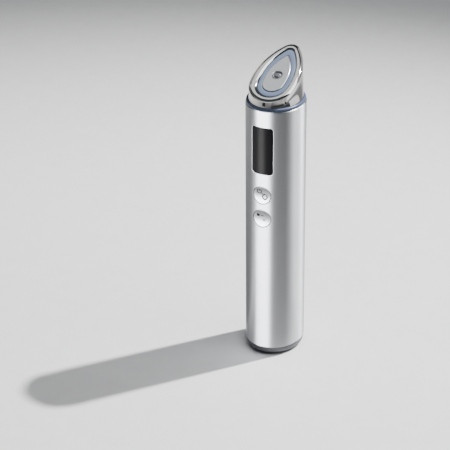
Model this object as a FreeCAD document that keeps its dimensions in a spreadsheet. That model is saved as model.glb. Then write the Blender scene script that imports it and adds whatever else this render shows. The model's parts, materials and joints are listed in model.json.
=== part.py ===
"""Handheld facial wand: an oval metal handle with a slanted teardrop electrode head.

Frame: millimetres, +Z up, origin at the centre of the foot's underside.
The display and the buttons face -Y; the head's tip leans towards +Y.
"""
import math
import os
import re

import FreeCAD
import Part
import Sketcher

doc = FreeCAD.newDocument("FacialWand")
sheet = doc.addObject("Spreadsheet::Sheet", "Dims")

DIMENSIONS = {
    # oval handle: half sizes of its section, and heights above the foot
    "half_width": 16.0,
    "half_depth": 17.9,
    "wall": 1.2,
    "shell_bottom": 4.6,
    "shell_top": 149.2,
    "rim_chamfer": 0.45,
    "edge_gap": 0.05,
    # display window
    "window_width": 12.3,
    "window_height": 27.6,
    "window_corner": 1.7,
    "window_middle": 126.2,
    "window_depth": 1.6,
    "seal_depth": 0.45,
    "display_width": 11.4,
    "display_height": 25.0,
    "display_depth": 1.4,
    "display_front": 14.6,
    # buttons
    "hole_radius": 5.4,
    "cap_radius": 5.2,
    "cap_inset": 0.15,
    "cap_back": 14.9,
    "flange_radius": 6.3,
    "flange_back": 13.9,
    "stem_radius": 1.6,
    "stem_back": 12.25,
    "dish_wide": 14.0,
    "dish_tall": 7.8,
    "dish_deep": 6.0,
    "dish_floor": 16.45,
    "power_height": 99.8,
    "level_height": 85.8,
    "membrane_front": 13.5,
    "membrane_depth": 0.5,
    "membrane_width": 14.0,
    "membrane_height": 30.0,
    "switch_size": 6.2,
    "switch_depth": 1.9,
    "plunger_radius": 1.7,
    "plunger_bore": 1.78,
    "plunger_front": 12.2,
    "plunger_back": 10.9,
    "bore_back": 10.4,
    # boards
    "board_front": 9.4,
    "board_depth": 1.0,
    "board_half": 12.0,
    "board_bottom": 36.0,
    "board_top": 136.5,
    # chassis
    "chassis_gap": 0.2,
    "chassis_wall": 1.4,
    "chassis_bottom": 19.0,
    "chassis_top": 137.0,
    "rib_depth": 2.0,
    "boss_radius": 2.2,
    "boss_side": 9.6,
    "boss_low": 40.0,
    "boss_high": 133.0,
    "screw_radius": 0.8,
    "screw_head": 1.5,
    "screw_head_tall": 0.8,
    "screw_length": 4.6,
    # battery
    "cell_radius": 9.2,
    "cell_length": 65.0,
    "cell_bottom": 46.0,
    "cell_back": 5.3,
    "pad_depth": 2.0,
    # electrode driver above the battery
    "driver_width": 20.0,
    "driver_depth": 1.0,
    "driver_tall": 18.0,
    "driver_front": 7.0,
    "coil_size": 9.0,
    "coil_depth": 7.0,
    "coil_round": 1.2,
    # base
    "cap_round": 2.4,
    "base_lip": 0.35,
    "base_floor": 0.6,
    "base_plate": 2.4,
    "spigot_gap": 0.1,
    "spigot_wall": 1.5,
    "spigot_top": 10.4,
    "foot_inset": 3.2,
    "foot_depth": 1.4,
    "groove_low": 6.4,
    "groove_tall": 1.4,
    "groove_depth": 0.6,
    "base_screw_side": 8.0,
    "post_radius": 2.4,
    "post_tall": 6.0,
    "sink_radius": 1.9,
    "sink_top": 2.1,
    "base_head_radius": 1.7,
    "base_head_tall": 0.6,
    "base_shank": 9.0,
    # charging port, on the back near the foot
    "port_height": 15.6,
    "port_width": 8.9,
    "port_tall": 3.2,
    "port_skin": 0.3,
    "port_length": 7.3,
    "port_face": 17.3,
    "bezel_width": 12.0,
    "bezel_tall": 6.2,
    # ring light below the head
    "ring_top": 151.0,
    "ring_inset": 0.3,
    "ring_round": 1.0,
    "ring_hole_in": 1.35,
    "ring_bore_in": 3.5,
    "skirt_bottom": 143.7,
    "led_board_bottom": 142.0,
    "led_board_depth": 1.0,
    "led_board_in": 3.4,
    "led_in": 2.4,
    "led_tall": 0.6,
    "led_side": 1.4,
    # chrome collar: an egg outline of four tangent arcs, lofted to the face
    "neck_front": -16.4,
    "neck_tip": 16.4,
    "neck_nose": 13.4,
    "neck_point": 13.4,
    "neck_flank": 17.89,
    "neck_bottom": 149.4,
    "neck_top": 151.1,
    "sleeve_in": 2.15,
    "bore_in": 3.35,
    "core_in": 1.2,
    "sleeve_bottom": 140.4,
    "lip": 0.3,
    # slanted face: tilt about X and its height on the axis
    "face_tilt": 25.2,
    "face_height": 161.9,
    "outer_front": -17.55,
    "outer_tip": 24.33,
    "outer_nose": 12.7,
    "outer_point": 5.1,
    "outer_flank": 36.9,
    "mid_front": -13.4,
    "mid_tip": 20.4,
    "mid_nose": 8.05,
    "mid_point": 2.5,
    "mid_flank": 33.3,
    "inner_front": -10.2,
    "inner_tip": 16.3,
    "inner_nose": 5.9,
    "inner_point": 0.8,
    "inner_flank": 27.2,
    "plate_depth": 2.2,
    "outer_crown": 0.35,
    "inner_crown": 0.1,
    "guide_low": 0.25,
    "guide_base": 1.9,
    "pocket_depth": 4.6,
    "ledge": 2.0,
    "head_board_top": 5.6,
    "head_board_depth": 1.0,
    "lens_place": 1.87,
    "lens_radius": 2.7,
    "piezo_radius": 5.2,
    "piezo_hole": 3.0,
    "piezo_depth": 0.8,
    "pin_radius": 0.5,
    # vibration motor in the collar's sleeve
    "motor_back": 5.0,
    "motor_radius": 3.5,
    "motor_bottom": 141.0,
    "motor_length": 9.5,
    "shaft_radius": 0.5,
    "shaft_gap": 0.05,
    "weight_radius": 3.0,
    "weight_bottom": 151.0,
    "weight_tall": 3.2,
    "cradle_in": 4.9,
    "cradle_tall": 6.0,
    "cradle_depth": 9.0,
}

for row, (alias, number) in enumerate(DIMENSIONS.items(), start=1):
    sheet.set("A%d" % row, alias)
    sheet.set("B%d" % row, str(number))
    sheet.setAlias("B%d" % row, alias)
doc.recompute()

NODES = []
NAMED = {alias: "Dims." + alias for alias in DIMENSIONS}
X_AXIS = FreeCAD.Vector(1, 0, 0)
Z_AXIS = FreeCAD.Vector(0, 0, 1)
ALONG_Y = FreeCAD.Rotation(X_AXIS, -90)
QUARTER = FreeCAD.Rotation(Z_AXIS, 90)

# places that several parts share
BOARD_SCREWS = [(x, z) for x in ("-boss_side", "boss_side") for z in ("boss_low", "boss_high")]
BASE_SCREWS = ("-base_screw_side", "base_screw_side")
PINS = (("-9.7", "0"), ("9.7", "0"), ("0", "-7.5"), ("0", "10.5"))


# ---------------------------------------------------------------- helpers
def size(expression):
    """The number that an expression of sheet names stands for."""
    return float(sheet.evalExpression(cells(expression)))


def bind(thing, **sizes):
    """Tie properties to expressions; x, y and z place the object."""
    for key, expression in sizes.items():
        path = "Placement.Base." + key if key in ("x", "y", "z") else key
        thing.setExpression(path, cells(expression))
    return thing


def cells(expression):
    """Write each sheet name in an expression with its sheet's name."""
    return re.sub(r"\b[a-z_]+\b", lambda word: NAMED.get(word.group(), word.group()), str(expression))


def node(thing, label):
    """Name a finished sub-part and put it on the export list."""
    thing.Label = label
    NODES.append(thing)
    return thing


def block(name, width, depth, height, x, y, z):
    """A box centred on x, from y backwards and from z upwards."""
    box = doc.addObject("Part::Box", name)
    bind(box, Length=width, Width=depth, Height=height, y=y, z=z)
    return bind(box, x="%s - (%s) / 2" % (x, width))


def rod(name, radius, length, x, y, z, rotation=None):
    """A cylinder from a point, along +Z or turned by rotation."""
    cylinder = doc.addObject("Part::Cylinder", name)
    if rotation:
        cylinder.Placement.Rotation = rotation
    return bind(cylinder, Radius=radius, Height=length, x=x, y=y, z=z)


def oval(name, inset, low, high):
    """A prism of the handle's oval, drawn in by inset, between two heights."""
    outline = doc.addObject("Part::Ellipse", name + "_outline")
    outline.Placement.Rotation = QUARTER
    bind(outline, MajorRadius="half_depth - (%s)" % inset, MinorRadius="half_width - (%s)" % inset, z=low)
    prism = doc.addObject("Part::Extrusion", name)
    prism.Base = outline
    prism.DirMode = "Custom"
    prism.Dir = Z_AXIS
    prism.Solid = True
    return bind(prism, LengthFwd="%s - (%s)" % (high, low))


def cut(name, base, *tools):
    """Base with every tool taken away, one after another."""
    for n, tool in enumerate(tools, start=1):
        result = doc.addObject("Part::Cut", name if n == len(tools) else "%s_%d" % (name, n))
        result.Base = base
        result.Tool = tool
        result.Refine = False
        base = result
    return base


def fuse(name, *pieces):
    result = doc.addObject("Part::MultiFuse", name)
    result.Shapes = list(pieces)
    return result


def overlap(name, first, second):
    result = doc.addObject("Part::Common", name)
    result.Base = first
    result.Tool = second
    return result


def group(name, pieces):
    """Several separate solids kept in one node."""
    result = doc.addObject("Part::Compound", name)
    result.Links = list(pieces)
    return result


def round_edges(kind, name, base, radius, wanted):
    """Fillet or chamfer the edges of base that wanted() accepts."""
    doc.recompute()
    chosen = [n for n, edge in enumerate(base.Shape.Edges, start=1) if wanted(edge)]
    result = doc.addObject("Part::" + kind, name)
    result.Base = base
    result.Edges = [(n, radius, radius) for n in chosen]
    return result


def along_y(edge):
    """Whether a straight edge runs along Y."""
    ends = [vertex.Point for vertex in edge.Vertexes]
    return len(ends) == 2 and abs(ends[0].y - ends[1].y) > 0.9 * edge.Length


def slab(name, width, height, corner, x, y, z, depth):
    """A block with corners rounded in the front view, centred on x and z."""
    blank = block(name + "_blank", width, depth, height, x, y, "%s - (%s) / 2" % (z, height))
    return round_edges("Fillet", name, blank, size(corner), along_y)


def at_height(value):
    """A test for edges that lie flat at one height."""
    return lambda edge: all(abs(point.z - value) < 1e-4 for point in edge.discretize(5))


# ------------------------------------------------- sketches of egg outlines
def new_body(label):
    body = doc.addObject("PartDesign::Body", label)
    return node(body, label)


def new_sketch(body, name, height="0"):
    """A sketch parallel to the body's own XY plane."""
    sketch = body.newObject("Sketcher::SketchObject", name)
    flat = [plane for plane in body.Origin.OriginFeatures if plane.Role == "XY_Plane"]
    sketch.AttachmentSupport = [(flat[0], "")]
    sketch.MapMode = "FlatFace"
    sketch.setExpression("AttachmentOffset.Base.z", cells(height))
    return sketch


def egg(sketch, family, grow="0"):
    """Four tangent arcs, a blunt nose at -Y and a point at +Y, drawn out by grow.

    The nose and point arcs are centred on the Y axis and two equal flanks join them.
    """
    names = ("front", "tip", "nose", "point", "flank")
    signs = ("-", "+", "+", "+", "+")
    text = {n: "%s_%s %s (%s)" % (family, n, s, grow) for n, s in zip(names, signs)}
    value = {n: size(text[n]) for n in names}
    nose_y = value["front"] + value["nose"]
    point_y = value["tip"] - value["point"]
    span = point_y - nose_y
    to_nose = value["flank"] - value["nose"]
    to_point = value["flank"] - value["point"]
    up = (span ** 2 + to_nose ** 2 - to_point ** 2) / (2 * span)
    side = math.sqrt(to_nose ** 2 - up ** 2)
    nose_angle = math.atan2(-up, side)
    point_angle = math.atan2(span - up, side)
    arcs = [
        (0, nose_y, value["nose"], math.pi - nose_angle, 2 * math.pi + nose_angle),
        (-side, nose_y + up, value["flank"], nose_angle, point_angle),
        (0, point_y, value["point"], point_angle, math.pi - point_angle),
        (side, nose_y + up, value["flank"], math.pi - point_angle, math.pi - nose_angle),
    ]
    first = sketch.GeometryCount
    for x, y, radius, start, end in arcs:
        circle = Part.Circle(FreeCAD.Vector(x, y, 0), Z_AXIS, radius)
        sketch.addGeometry(Part.ArcOfCircle(circle, start, end), False)
    nose, right, point, left = range(first, first + 4)
    for one, other in ((nose, right), (right, point), (point, left), (left, nose)):
        sketch.addConstraint(Sketcher.Constraint("Tangent", one, 2, other, 1))
    for arc in (nose, point):
        sketch.addConstraint(Sketcher.Constraint("PointOnObject", arc, 3, -2))
    sketch.addConstraint(Sketcher.Constraint("Equal", right, left))
    driven = [
        (Sketcher.Constraint("Radius", nose, value["nose"]), text["nose"]),
        (Sketcher.Constraint("Radius", point, value["point"]), text["point"]),
        (Sketcher.Constraint("Radius", right, value["flank"]), text["flank"]),
        (Sketcher.Constraint("DistanceY", -1, 1, nose, 3, nose_y),
         "%s + (%s)" % (text["front"], text["nose"])),
        (Sketcher.Constraint("DistanceY", -1, 1, point, 3, point_y),
         "%s - (%s)" % (text["tip"], text["point"])),
    ]
    for constraint, expression in driven:
        index = sketch.addConstraint(constraint)
        sketch.setExpression("Constraints[%d]" % index, cells(expression))


def circle(sketch, y, radius):
    """A driven circle on the sketch's Y axis."""
    shape = Part.Circle(FreeCAD.Vector(0, size(y), 0), Z_AXIS, size(radius))
    index = sketch.addGeometry(shape, False)
    sketch.addConstraint(Sketcher.Constraint("PointOnObject", index, 3, -2))
    place = sketch.addConstraint(Sketcher.Constraint("DistanceY", -1, 1, index, 3, size(y)))
    sketch.setExpression("Constraints[%d]" % place, cells(y))
    bend = sketch.addConstraint(Sketcher.Constraint("Radius", index, size(radius)))
    sketch.setExpression("Constraints[%d]" % bend, cells(radius))


def on_face(thing, along="0", rise="0", across="0"):
    """Place an object in the slanted face's frame: rise is along its normal."""
    thing.Placement.Rotation = FreeCAD.Rotation(X_AXIS, size("face_tilt"))
    thing.setExpression("Placement.Rotation.Angle", cells("face_tilt * 1 deg"))
    turn = "(face_tilt * 1 deg)"
    return bind(thing, x=across,
                y="(%s) * cos%s - (%s) * sin%s" % (along, turn, rise, turn),
                z="face_height + (%s) * sin%s + (%s) * cos%s" % (along, turn, rise, turn))


def loose_egg(name, family, grow):
    """A free-standing sketch of one egg outline."""
    sketch = doc.addObject("Sketcher::SketchObject", name)
    egg(sketch, family, grow)
    return sketch


def taper(name, foot_grow, face_grow, rise="0", foot="neck_top"):
    """A loft that rises upright from the foot to the neck's top, then slants to the face's outline."""
    heights = [foot] if foot == "neck_top" else [foot, "neck_top"]
    sections = [bind(loose_egg("%s_ring_%d" % (name, n), "neck", foot_grow), z=height)
                for n, height in enumerate(heights)]
    sections.append(on_face(loose_egg(name + "_face", "outer", face_grow), rise=rise))
    loft = doc.addObject("Part::Loft", name)
    loft.Sections = sections
    loft.Solid = True
    loft.Ruled = True
    return loft


def layer(name, solid, low, high):
    """The part of a solid between two depths below the face."""
    plate = doc.addObject("Part::Box", name + "_plate")
    bind(plate, Length="80", Width="80", Height="%s - (%s)" % (high, low))
    on_face(plate, along="-40", rise=low, across="-40")
    return overlap(name, solid, plate)


def extruded(name, outline, length):
    prism = doc.addObject("Part::Extrusion", name)
    prism.Base = outline
    prism.DirMode = "Normal"
    prism.Solid = True
    return bind(prism, LengthFwd=length)


def face_prism(name, family, grow, low, high):
    """An egg outline raised along the face's normal between two depths."""
    outline = on_face(loose_egg(name + "_outline", family, grow), rise=low)
    return extruded(name, outline, "%s - (%s)" % (high, low))


def upright_prism(name, grow, low, high):
    """The neck's outline raised along Z between two heights."""
    outline = bind(loose_egg(name + "_outline", "neck", grow), z=low)
    return extruded(name, outline, "%s - (%s)" % (high, low))


def face_rod(name, radius, across, along, low, high):
    """A cylinder along the face's normal between two depths."""
    cylinder = doc.addObject("Part::Cylinder", name)
    bind(cylinder, Radius=radius, Height="%s - (%s)" % (high, low))
    return on_face(cylinder, along=along, rise=low, across=across)


def on_face_level(value):
    """A test for edges that lie parallel to the face at one height above it."""
    turn = math.radians(size("face_tilt"))
    normal = FreeCAD.Vector(0, -math.sin(turn), math.cos(turn))
    origin = FreeCAD.Vector(0, 0, size("face_height"))
    return lambda edge: all(abs((point - origin).dot(normal) - value) < 1e-4
                            for point in edge.discretize(5))


def pad(body, sketch, length, down=True):
    feature = body.newObject("PartDesign::Pad", sketch.Name + "_pad")
    feature.Profile = sketch
    feature.Reversed = down
    feature.setExpression("Length", cells(length))
    sketch.Visibility = False
    return feature


def pocket(body, sketch, length, upwards=False):
    """Cut a sketch into the body and check that it took material away."""
    doc.recompute()
    before = body.Shape.Volume
    feature = body.newObject("PartDesign::Pocket", sketch.Name + "_pocket")
    feature.Profile = sketch
    feature.Reversed = upwards
    feature.setExpression("Length", cells(length))
    doc.recompute()
    if body.Shape.Volume >= before - 1e-6:
        raise RuntimeError(sketch.Name + " cut nothing")
    return feature


def crown(body, radius, height):
    """Round the edges that lie in the body's own plane at one height."""
    doc.recompute()
    tip = body.Tip
    flat = at_height(height)
    edges = ["Edge%d" % n for n, edge in enumerate(tip.Shape.Edges, start=1) if flat(edge)]
    feature = body.newObject("PartDesign::Fillet", body.Name + "_crown")
    feature.Base = (tip, edges)
    feature.Radius = radius
    return feature


# ---------------------------------------------------------------- handle
def body_shell():
    """Extruded oval tube with the window, two button holes and the port slot."""
    outside = oval("shell_outside", "0", "shell_bottom", "shell_top")
    at_foot, at_rim = at_height(size("shell_bottom")), at_height(size("shell_top"))
    outside = round_edges("Chamfer", "shell_chamfered", outside, size("rim_chamfer"),
                          lambda edge: at_foot(edge) or at_rim(edge))
    inside = oval("shell_inside", "wall", "shell_bottom - 1", "shell_top + 1")
    front = "-half_depth - 2"
    window = slab("shell_window", "window_width", "window_height", "window_corner",
                  "0", front, "window_middle", "8")
    holes = [rod("shell_hole_" + name, "hole_radius", "8", "0", front, name + "_height", ALONG_Y)
             for name in ("power", "level")]
    slot = slab("shell_slot", "bezel_width", "bezel_tall", "bezel_tall / 2.05",
                "0", "half_depth - 4", "port_height", "8")
    node(cut("body_shell", outside, inside, window, slot, *holes), "body_shell")


def display():
    """Curved window, its seal, and the display panel in its frame."""
    skin = cut("window_skin", oval("window_out", "edge_gap", "100", "shell_top"),
               oval("window_in", "window_depth", "99", "shell_top + 1"))
    outline = slab("window_outline", "window_width - 2 * edge_gap", "window_height - 2 * edge_gap",
                   "window_corner - edge_gap", "0", "-half_depth - 2", "window_middle", "8")
    node(overlap("display_window", skin, outline), "display_window")

    skin = cut("seal_skin", oval("seal_out", "wall + edge_gap", "100", "shell_top"),
               oval("seal_in", "wall + edge_gap + seal_depth", "99", "shell_top + 1"))
    outline = slab("seal_outline", "window_width + 3", "window_height + 3", "window_corner + 1",
                   "0", "-half_depth - 2", "window_middle", "10")
    frame = overlap("seal_frame", skin, outline)
    opening = slab("seal_opening", "window_width + 2 * edge_gap", "window_height + 2 * edge_gap",
                   "window_corner", "0", "-half_depth - 2", "window_middle", "12")
    node(cut("window_gasket", frame, opening), "window_gasket")

    low = "window_middle - display_height / 2"
    node(block("display_module", "display_width", "display_depth", "display_height",
               "0", "-display_front", low), "display_module")
    back = "display_front - display_depth"
    body = block("frame_body", "display_width + 3", "%s - board_front" % back, "display_height + 2",
                 "0", "-(%s)" % back, "%s - 1" % low)
    hollow = block("frame_hollow", "display_width - 2", "12", "display_height - 4",
                   "0", "-(%s) - 2" % back, "%s + 2" % low)
    node(cut("display_frame", body, hollow), "display_frame")


def button(name):
    """Dished cap with its flange and stem, and the dome switch behind it."""
    height = name + "_height"
    cap = rod(name + "_disc", "cap_radius", "half_depth - cap_back", "0", "-half_depth", height, ALONG_Y)
    skin = oval(name + "_skin", "cap_inset", height + " - 8", height + " + 8")
    cap = overlap(name + "_face", cap, skin)
    dish = doc.addObject("Part::Ellipsoid", name + "_dish")
    dish.Angle1 = -90
    dish.Angle2 = 90
    bind(dish, Radius1="dish_tall", Radius2="dish_wide", Radius3="dish_deep",
         y="-dish_floor - dish_deep", z=height)
    cap = cut(name + "_dished", cap, dish)
    flange = rod(name + "_flange", "flange_radius", "cap_back - flange_back",
                 "0", "-cap_back", height, ALONG_Y)
    stem = rod(name + "_stem", "stem_radius", "flange_back - stem_back",
               "0", "-flange_back", height, ALONG_Y)
    node(fuse(name + "_button", cap, flange, stem), name + "_button")

    front = "-board_front - switch_depth"
    case = block(name + "_case", "switch_size", "switch_depth", "switch_size",
                 "0", front, "%s - switch_size / 2" % height)
    bore = rod(name + "_bore", "plunger_bore", "board_front + switch_depth - bore_back",
               "0", front, height, ALONG_Y)
    node(cut(name + "_switch", case, bore), name + "_switch")
    node(rod(name + "_plunger", "plunger_radius", "plunger_front - plunger_back",
             "0", "-plunger_front", height, ALONG_Y), name + "_plunger")


def button_mounting():
    """Silicone sheet behind the caps and the bracket that holds it to the board."""
    middle = "(power_height + level_height) / 2"
    low = "%s - membrane_height / 2" % middle
    sheet_body = block("membrane_body", "membrane_width", "membrane_depth", "membrane_height",
                       "0", "-membrane_front", low)
    stems = [rod("membrane_hole_" + name, "stem_radius + 0.3", "2", "0", "-membrane_front - 1",
                 name + "_height", ALONG_Y) for name in ("power", "level")]
    node(cut("button_membrane", sheet_body, *stems), "button_membrane")

    front = "membrane_front - membrane_depth"
    body = block("bracket_body", "membrane_width", "%s - board_front" % front, "membrane_height",
                 "0", "-(%s)" % front, low)
    rooms = [rod("bracket_room_" + name, "switch_size * 0.75", "8", "0", "-membrane_front - 1",
                 name + "_height", ALONG_Y) for name in ("power", "level")]
    node(cut("button_frame", body, *rooms), "button_frame")


# ---------------------------------------------------------------- inside
def main_board():
    """Long circuit board behind the display, its chips and its four screws."""
    board = block("board_blank", "2 * board_half", "board_depth", "board_top - board_bottom",
                  "0", "-board_front", "board_bottom")
    holes = [rod("board_hole_%d" % n, "screw_radius + 0.1", "3", x, "-board_front - 1", z, ALONG_Y)
             for n, (x, z) in enumerate(BOARD_SCREWS)]
    node(cut("main_board", board, *holes), "main_board")

    screws = []
    for n, (x, z) in enumerate(BOARD_SCREWS):
        head = rod("screw_head_%d" % n, "screw_head", "screw_head_tall",
                   x, "-board_front - screw_head_tall", z, ALONG_Y)
        shank = rod("screw_shank_%d" % n, "screw_radius", "screw_length",
                    x, "-board_front - 0.1", z, ALONG_Y)
        screws.append(fuse("board_screw_%d" % n, head, shank))
    node(group("board_screws", screws), "board_screws")

    chips = [("8", "1.2", "8", "0", "50"), ("5", "1.0", "6", "4", "64"), ("3", "1.4", "3", "-5", "65")]
    solids = [block("chip_%d" % n, w, d, t, x, "-board_front - %s" % d, z)
              for n, (w, d, t, x, z) in enumerate(chips)]
    node(group("board_chips", solids), "board_chips")


def chassis():
    """Half-round tray open to the front, with ribs that hold the battery."""
    gap = "wall + chassis_gap"
    ring = cut("tray_ring", oval("tray_out", gap, "chassis_bottom", "chassis_top"),
               oval("tray_in", gap + " + chassis_wall", "chassis_bottom - 1", "chassis_top + 1"))
    ribs = []
    rib_places = ("cell_bottom - pad_depth - rib_depth", "cell_bottom + cell_length + pad_depth")
    for n, low in enumerate(rib_places):
        plate = oval("rib_plate_%d" % n, gap + " + 0.5", low, "(%s) + rib_depth" % low)
        hole = rod("rib_hole_%d" % n, "4", "6", "0", "cell_back", "(%s) - 2" % low)
        ribs.append(cut("rib_%d" % n, plate, hole))
    bosses = [rod("boss_%d" % n, "boss_radius", "6", x, "-board_front + board_depth", z, ALONG_Y)
              for n, (x, z) in enumerate(BOARD_SCREWS)]
    solid = fuse("tray_solid", ring, *ribs, *bosses)
    front = block("tray_front", "60", "20", "chassis_top + 10", "0", "-board_front + board_depth - 20", "0")
    threads = [rod("thread_%d" % n, "screw_radius", "6", x, "-board_front", z, ALONG_Y)
               for n, (x, z) in enumerate(BOARD_SCREWS)]
    limit = oval("tray_limit", gap, "chassis_bottom", "chassis_top")
    node(overlap("chassis", cut("tray_open", solid, front, *threads), limit), "chassis")


def battery():
    """Round lithium cell between two foam pads."""
    node(rod("battery_cell", "cell_radius", "cell_length", "0", "cell_back", "cell_bottom"), "battery_cell")
    pads = [rod("pad_%d" % n, "cell_radius - 0.4", "pad_depth", "0", "cell_back", low)
            for n, low in enumerate(("cell_bottom - pad_depth", "cell_bottom + cell_length"))]
    node(group("battery_pads", pads), "battery_pads")


def driver():
    """Electrode driver board and its step-up transformer."""
    low = "cell_bottom + cell_length + pad_depth + rib_depth + 1"
    node(block("driver_board", "driver_width", "driver_depth", "driver_tall", "0", "driver_front", low),
         "driver_board")
    core = block("coil_core", "coil_size", "coil_depth", "coil_size",
                 "0", "driver_front - coil_depth", "%s + (driver_tall - coil_size) / 2" % low)
    node(round_edges("Fillet", "step_up_coil", core, size("coil_round"), along_y), "step_up_coil")


# ---------------------------------------------------------------- base
def base():
    """Rounded plug that closes the tube's foot, its seal, foot pad and screws."""
    dome = oval("cap_dome", "base_lip", "base_floor", "shell_bottom")
    dome = round_edges("Fillet", "cap_rounded", dome, size("cap_round"),
                       at_height(size("base_floor")))
    gap = "wall + spigot_gap"
    spigot = oval("cap_spigot", gap, "shell_bottom - 1", "spigot_top")
    hollow = oval("cap_hollow", gap + " + spigot_wall", "base_floor + base_plate", "spigot_top + 1")
    groove = cut("cap_groove", oval("groove_out", "0", "groove_low", "groove_low + groove_tall"),
                 oval("groove_in", gap + " + groove_depth", "groove_low - 1",
                      "groove_low + groove_tall + 1"))
    recess = oval("cap_recess", "foot_inset", "0", "foot_depth")
    posts = [rod("cap_post_%d" % n, "post_radius", "post_tall", x, "0", "base_floor + 1")
             for n, x in enumerate(BASE_SCREWS)]
    holes = [rod("cap_hole_%d" % n, "screw_radius + 0.1", "12", x, "0", "0")
             for n, x in enumerate(BASE_SCREWS)]
    sinks = [rod("cap_sink_%d" % n, "sink_radius", "sink_top", x, "0", "0")
             for n, x in enumerate(BASE_SCREWS)]
    cup = cut("cap_cup", fuse("cap_solid", dome, spigot), hollow, groove, recess)
    node(cut("base_cap", fuse("cap_posts", cup, *posts), *holes, *sinks), "base_cap")

    node(cut("base_seal",
             oval("seal_ring_out", "wall", "groove_low + edge_gap", "groove_low + groove_tall - edge_gap"),
             oval("seal_ring_in", gap + " + groove_depth", "groove_low - 1",
                  "groove_low + groove_tall + 1")), "base_seal")
    node(oval("foot_pad", "foot_inset + edge_gap", "0", "foot_depth"), "foot_pad")

    screws = []
    for n, x in enumerate(BASE_SCREWS):
        head = rod("base_head_%d" % n, "base_head_radius", "base_head_tall", x, "0", "foot_depth + edge_gap")
        shank = rod("base_shank_%d" % n, "screw_radius", "base_shank", x, "0", "foot_depth + 0.5")
        screws.append(fuse("base_screw_%d" % n, head, shank))
    node(group("base_screws", screws), "base_screws")


def charging_port():
    """Charge board with an upright-standing socket facing the back."""
    under = "port_height - port_tall / 2 - 1"
    plate = overlap("charge_plate", oval("charge_oval", "wall + 1", under, "(%s) + 1" % under),
                    block("charge_limit", "22", "30", "30", "0", "-12.6", "0"))
    holes = [rod("charge_hole_%d" % n, "screw_radius", "20", x, "0", "2") for n, x in enumerate(BASE_SCREWS)]
    node(cut("charge_board", plate, *holes), "charge_board")
    front = "port_face - port_length"
    outside = slab("socket_out", "port_width", "port_tall", "port_tall / 2.05",
                   "0", front, "port_height", "port_length")
    inside = slab("socket_in", "port_width - 2 * port_skin", "port_tall - 2 * port_skin",
                  "port_tall / 2.05 - port_skin", "0", "%s + 1" % front, "port_height", "port_length")
    node(cut("usb_socket", outside, inside), "usb_socket")
    node(block("usb_tongue", "6.7", "5", "0.7", "0", "%s + 1" % front, "port_height - 0.35"), "usb_tongue")

    skin = cut("bezel_skin", oval("bezel_out", "edge_gap", "5", "30"),
               oval("bezel_in", "wall + 1", "4", "31"))
    outline = slab("bezel_outline", "bezel_width - 2 * edge_gap", "bezel_tall - 2 * edge_gap",
                   "bezel_tall / 2.05 - edge_gap", "0", "half_depth - 6", "port_height", "8")
    mouth = slab("bezel_mouth", "port_width + 2 * edge_gap", "port_tall + 2 * edge_gap",
                 "port_tall / 2.05 + edge_gap", "0", "half_depth - 7", "port_height", "9")
    node(cut("port_bezel", overlap("bezel_plate", skin, outline), mouth), "port_bezel")


# ---------------------------------------------------------------- head
def ring_light():
    """Translucent ring on the tube's rim, with a skirt that takes light from a board."""
    crest = oval("ring_crest", "ring_inset", "shell_top", "ring_top")
    crest = round_edges("Fillet", "ring_rounded", crest, size("ring_round"),
                        at_height(size("ring_top")))
    neck_gap = oval("ring_hole", "ring_hole_in", "neck_bottom", "ring_top + 1")
    skirt = oval("ring_skirt", "wall + edge_gap", "skirt_bottom", "shell_top + 0.1")
    bore = oval("ring_bore", "ring_bore_in", "skirt_bottom - 1", "ring_top + 1")
    solid = fuse("ring_solid", crest, skirt)
    node(cut("light_ring", solid, neck_gap, bore), "light_ring")

    board_top = "led_board_bottom + led_board_depth"
    board = cut("led_plate", oval("led_plate_out", "wall + 0.2", "led_board_bottom", board_top),
                oval("led_plate_in", "led_board_in", "led_board_bottom - 1", board_top + " + 1"))
    node(board, "ring_led_board")
    lamps = []
    count = 12
    for n in range(count):
        angle = 2 * math.pi * n / count
        x = "(half_width - led_in) * %.6f" % math.cos(angle)
        y = "(half_depth - led_in) * %.6f - led_side / 2" % math.sin(angle)
        lamps.append(block("ring_lamp_%d" % n, "led_side", "led_side", "led_tall", x, y, board_top))
    node(group("ring_leds", lamps), "ring_leds")


def head_collar():
    """Chrome collar: a short upright neck that tapers to the slanted teardrop face."""
    outside = taper("collar_taper", "0", "lip", foot="neck_bottom")
    sleeve = upright_prism("collar_sleeve", "-sleeve_in", "sleeve_bottom", "neck_bottom + 0.1")
    room = taper("collar_room", "-bore_in", "-ledge", foot="sleeve_bottom - 1")
    seat = layer("collar_seat", taper("collar_seat_taper", "-core_in", "edge_gap", "outer_crown"),
                 "-pocket_depth", "2")
    node(cut("head_collar", fuse("collar_solid", outside, sleeve), seat, room), "head_collar")


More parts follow.
